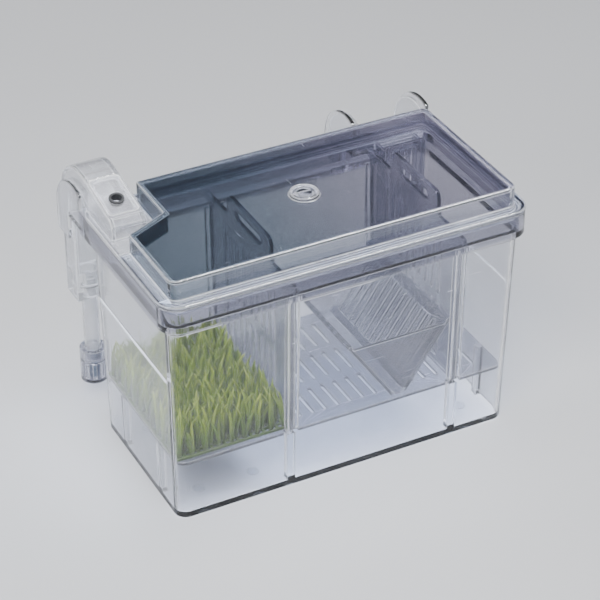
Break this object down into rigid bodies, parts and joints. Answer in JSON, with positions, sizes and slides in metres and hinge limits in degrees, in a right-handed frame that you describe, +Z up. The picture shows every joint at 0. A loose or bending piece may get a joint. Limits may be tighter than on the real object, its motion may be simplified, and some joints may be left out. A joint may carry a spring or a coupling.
{
  "type": "fish breeding box",
  "caption": "Clear hang-on aquarium breeding box with lid, air-driven water lift, overflow chute, slotted dividers, V trap, slotted floor and spawning mat.",
  "frame": {"origin": "centre of the flat base", "axes": "+X along the box, intake at -X and chute at +X; +Y points to the aquarium that the hooks hang on; +Z is up"},
  "size_m": [0.184, 0.1237, 0.136],
  "materials": {
    "clear_tank": "clear moulded plastic, polished",
    "clear_lid": "clear moulded plastic, faint smoke tint, polished",
    "clear_duct": "clear moulded plastic, polished",
    "clear_insert": "clear moulded plastic, fine satin",
    "soft_rubber": "soft, matt",
    "air_stone": "coarse bonded grit",
    "green_mat": "soft, satin"
  },
  "bodies": {
    "box": {"box_body": "clear_tank", "intake_duct": "clear_duct", "duct_cover": "clear_duct", "airline_grommet": "soft_rubber", "riser_seal": "soft_rubber", "outflow_chute": "clear_duct"},
    "lid": {"lid": "clear_lid"},
    "plug": {"feed_plug": "clear_insert"},
    "divider_left": {"divider_left": "clear_insert"},
    "divider_right": {"divider_right": "clear_insert"},
    "guard": {"outflow_guard": "clear_insert"},
    "trap": {"breeding_trap": "clear_insert"},
    "mat": {"spawning_mat": "green_mat"},
    "fry_floor": {"fry_floor": "clear_insert"},
    "riser": {"riser_tube": "clear_duct"},
    "strainer": {"inlet_strainer": "clear_insert", "air_diffuser": "air_stone"},
    "foot_left": {"foot_pad_left": "soft_rubber"},
    "screw_left": {"level_screw_left": "clear_insert"},
    "foot_right": {"foot_pad_right": "soft_rubber"},
    "screw_right": {"level_screw_right": "clear_insert"}
  },
  "joints": [
    {"name": "lid_lift", "type": "slide", "parent": "box", "child": "lid", "axis": [0, 0, 1], "range_m": [0, 0.12]},
    {"name": "plug_pull", "type": "slide", "parent": "lid", "child": "plug", "axis": [0, 0, 1], "range_m": [0, 0.008]},
    {"name": "divider_left_lift", "type": "slide", "parent": "box", "child": "divider_left", "axis": [0, 0, 1], "range_m": [0, 0.102]},
    {"name": "divider_right_lift", "type": "slide", "parent": "box", "child": "divider_right", "axis": [0, 0, 1], "range_m": [0, 0.102]},
    {"name": "guard_lift", "type": "slide", "parent": "box", "child": "guard", "axis": [0, 0, 1], "range_m": [0, 0.096]},
    {"name": "trap_lift", "type": "slide", "parent": "box", "child": "trap", "axis": [0, 0, 1], "range_m": [0, 0.096]},
    {"name": "mat_lift", "type": "slide", "parent": "box", "child": "mat", "axis": [0, 0, 1], "range_m": [0, 0.048]},
    {"name": "fry_floor_lift", "type": "slide", "parent": "box", "child": "fry_floor", "axis": [0, 0, 1], "range_m": [0, 0.0456]},
    {"name": "riser_slide", "type": "slide", "parent": "box", "child": "riser", "axis": [0, 0, 1], "range_m": [0, 0.024]},
    {"name": "strainer_pull", "type": "slide", "parent": "riser", "child": "strainer", "axis": [0, 0, 1], "range_m": [-0.007, 0]},
    {"name": "foot_left_slide", "type": "slide", "parent": "box", "child": "foot_left", "axis": [0, 1, 0], "range_m": [0, 0.006]},
    {"name": "screw_left_turn", "type": "hinge", "parent": "foot_left", "child": "screw_left", "pos_m": [-0.066, 0.0426, 0.016], "axis": [0, 1, 0], "range_deg": [0, 1440]},
    {"name": "foot_right_slide", "type": "slide", "parent": "box", "child": "foot_right", "axis": [0, 1, 0], "range_m": [0, 0.006]},
    {"name": "screw_right_turn", "type": "hinge", "parent": "foot_right", "child": "screw_right", "pos_m": [0.066, 0.0426, 0.016], "axis": [0, 1, 0], "range_deg": [0, 1440]}
  ],
  "couplings": [
    {"joint": "divider_left_lift", "follows": "lid_lift", "ratio": 0.85},
    {"joint": "divider_right_lift", "follows": "lid_lift", "ratio": 0.85},
    {"joint": "guard_lift", "follows": "lid_lift", "ratio": 0.8},
    {"joint": "trap_lift", "follows": "lid_lift", "ratio": 0.8},
    {"joint": "mat_lift", "follows": "lid_lift", "ratio": 0.4},
    {"joint": "fry_floor_lift", "follows": "lid_lift", "ratio": 0.38},
    {"joint": "screw_left_turn", "follows": "foot_left_slide", "rad_per_m": 4188.8},
    {"joint": "screw_right_turn", "follows": "foot_right_slide", "rad_per_m": 4188.8}
  ]
}
